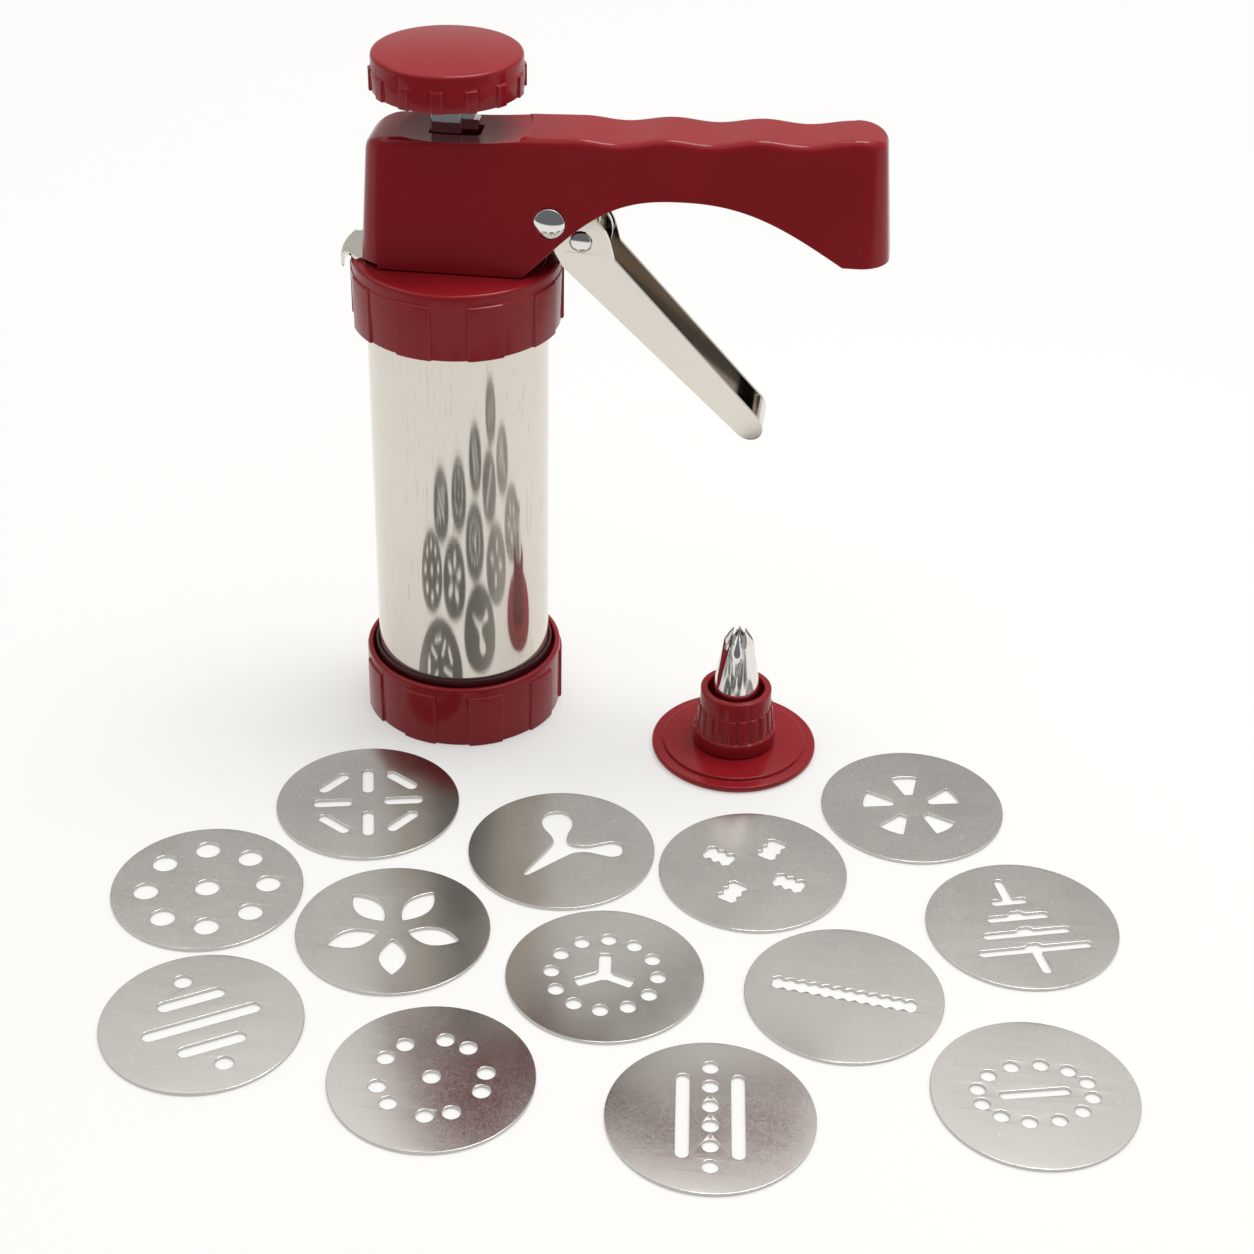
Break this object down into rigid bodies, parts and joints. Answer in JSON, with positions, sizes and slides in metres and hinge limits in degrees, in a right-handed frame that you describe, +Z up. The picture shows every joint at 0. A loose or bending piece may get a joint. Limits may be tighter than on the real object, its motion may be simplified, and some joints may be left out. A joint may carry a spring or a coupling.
{
  "type": "cookie press",
  "caption": "Lever cookie press with toothed plunger, squeeze trigger and screw rings, with pattern discs and a star nozzle on its ribbed nut laid out beside it.",
  "frame": {"origin": "middle of the whole set's box, on the surface that it stands on", "axes": "+Z up along the barrel, +X along the handle from the nose to the grip's end, -Y towards the laid out discs"},
  "size_m": [0.2856, 0.2364, 0.2118],
  "materials": {
    "red_plastic": "gloss",
    "dark_red_plastic": "satin",
    "barrel_steel": "brushed",
    "disc_steel": "satin",
    "trigger_steel": "satin",
    "bright_steel": "polished",
    "hardware_steel": "satin",
    "black_rubber": "matte"
  },
  "bodies": {
    "press_body": {"barrel": "barrel_steel", "lower_collar": "dark_red_plastic", "upper_collar": "dark_red_plastic", "base_flange": "red_plastic", "flange_screw_1": "hardware_steel", "flange_screw_2": "hardware_steel", "flange_screw_3": "hardware_steel", "flange_screw_4": "hardware_steel", "handle_shell": "red_plastic", "trigger_pin": "bright_steel", "release_spring": "hardware_steel"},
    "foot_ring": {"bottom_ring": "red_plastic"},
    "clamp_ring": {"top_ring": "red_plastic"},
    "plunger": {"piston": "dark_red_plastic", "piston_seal": "black_rubber", "piston_screw": "hardware_steel", "piston_washer": "hardware_steel", "piston_rod": "bright_steel", "knob": "red_plastic"},
    "trigger": {"trigger": "trigger_steel", "cross_rivet": "bright_steel", "drive_link": "trigger_steel", "pawl_pin": "bright_steel", "trigger_spring": "hardware_steel"},
    "pawl": {"drive_pawl": "hardware_steel"},
    "release": {"release_plate": "trigger_steel"},
    "nozzle": {"nozzle_adapter": "red_plastic", "nozzle_tip": "bright_steel"},
    "nozzle_nut": {"nozzle_nut": "red_plastic"},
    "disc_a": {"disc_a": "disc_steel"},
    "disc_b": {"disc_b": "disc_steel"},
    "disc_c": {"disc_c": "disc_steel"},
    "disc_d": {"disc_d": "disc_steel"},
    "disc_e": {"disc_e": "disc_steel"},
    "disc_f": {"disc_f": "disc_steel"},
    "disc_g": {"disc_g": "disc_steel"},
    "disc_h": {"disc_h": "disc_steel"},
    "disc_i": {"disc_i": "disc_steel"},
    "disc_j": {"disc_j": "disc_steel"},
    "disc_k": {"disc_k": "disc_steel"},
    "disc_l": {"disc_l": "disc_steel"},
    "disc_m": {"disc_m": "disc_steel"}
  },
  "joints": [
    {"name": "bottom_ring_turn", "type": "hinge", "parent": "press_body", "child": "foot_ring", "pos_m": [-0.06184, 0.08767, 0], "axis": [0, 0, -1], "range_deg": [0, 360]},
    {"name": "top_ring_turn", "type": "hinge", "parent": "press_body", "child": "clamp_ring", "pos_m": [-0.06184, 0.08767, 0], "axis": [0, 0, 1], "range_deg": [0, 360]},
    {"name": "plunger_slide", "type": "slide", "parent": "press_body", "child": "plunger", "axis": [0, 0, 1], "range_m": [-0.009, 0.11]},
    {"name": "trigger_pivot", "type": "hinge", "parent": "press_body", "child": "trigger", "pos_m": [-0.03324, 0.08767, 0.1677], "axis": [0, -1, 0], "range_deg": [0, 35], "stiffness_Nm_per_rad": 0.15, "springref_deg": -20.05, "deforming": ["trigger_spring"]},
    {"name": "pawl_pivot", "type": "hinge", "parent": "trigger", "child": "pawl", "pos_m": [-0.04704, 0.08767, 0.1721], "axis": [0, -1, 0], "range_deg": [-35, 0]},
    {"name": "release_slide", "type": "slide", "parent": "press_body", "child": "release", "axis": [1, 0, 0], "range_m": [0, 0.001], "stiffness_N_per_m": 500, "springref_m": -0.002, "deforming": ["release_spring"]},
    {"name": "nozzle_lift", "type": "slide", "parent": "press_body", "child": "nozzle", "axis": [0, 0, 1], "range_m": [0, 0.03]},
    {"name": "nozzle_nut_turn", "type": "hinge", "parent": "nozzle", "child": "nozzle_nut", "pos_m": [0.02515, 0.07117, 0], "axis": [0, 0, 1], "range_deg": [0, 360]},
    {"name": "disc_a_lift", "type": "slide", "parent": "press_body", "child": "disc_a", "axis": [0, 0, 1], "range_m": [0, 0.03]},
    {"name": "disc_b_lift", "type": "slide", "parent": "press_body", "child": "disc_b", "axis": [0, 0, 1], "range_m": [0, 0.03]},
    {"name": "disc_c_lift", "type": "slide", "parent": "press_body", "child": "disc_c", "axis": [0, 0, 1], "range_m": [0, 0.03]},
    {"name": "disc_d_lift", "type": "slide", "parent": "press_body", "child": "disc_d", "axis": [0, 0, 1], "range_m": [0, 0.03]},
    {"name": "disc_e_lift", "type": "slide", "parent": "press_body", "child": "disc_e", "axis": [0, 0, 1], "range_m": [0, 0.03]},
    {"name": "disc_f_lift", "type": "slide", "parent": "press_body", "child": "disc_f", "axis": [0, 0, 1], "range_m": [0, 0.03]},
    {"name": "disc_g_lift", "type": "slide", "parent": "press_body", "child": "disc_g", "axis": [0, 0, 1], "range_m": [0, 0.03]},
    {"name": "disc_h_lift", "type": "slide", "parent": "press_body", "child": "disc_h", "axis": [0, 0, 1], "range_m": [0, 0.03]},
    {"name": "disc_i_lift", "type": "slide", "parent": "press_body", "child": "disc_i", "axis": [0, 0, 1], "range_m": [0, 0.03]},
    {"name": "disc_j_lift", "type": "slide", "parent": "press_body", "child": "disc_j", "axis": [0, 0, 1], "range_m": [0, 0.03]},
    {"name": "disc_k_lift", "type": "slide", "parent": "press_body", "child": "disc_k", "axis": [0, 0, 1], "range_m": [0, 0.03]},
    {"name": "disc_l_lift", "type": "slide", "parent": "press_body", "child": "disc_l", "axis": [0, 0, 1], "range_m": [0, 0.03]},
    {"name": "disc_m_lift", "type": "slide", "parent": "press_body", "child": "disc_m", "axis": [0, 0, 1], "range_m": [0, 0.03]}
  ],
  "couplings": [
    {"joint": "pawl_pivot", "follows": "trigger_pivot", "ratio": -1}
  ]
}
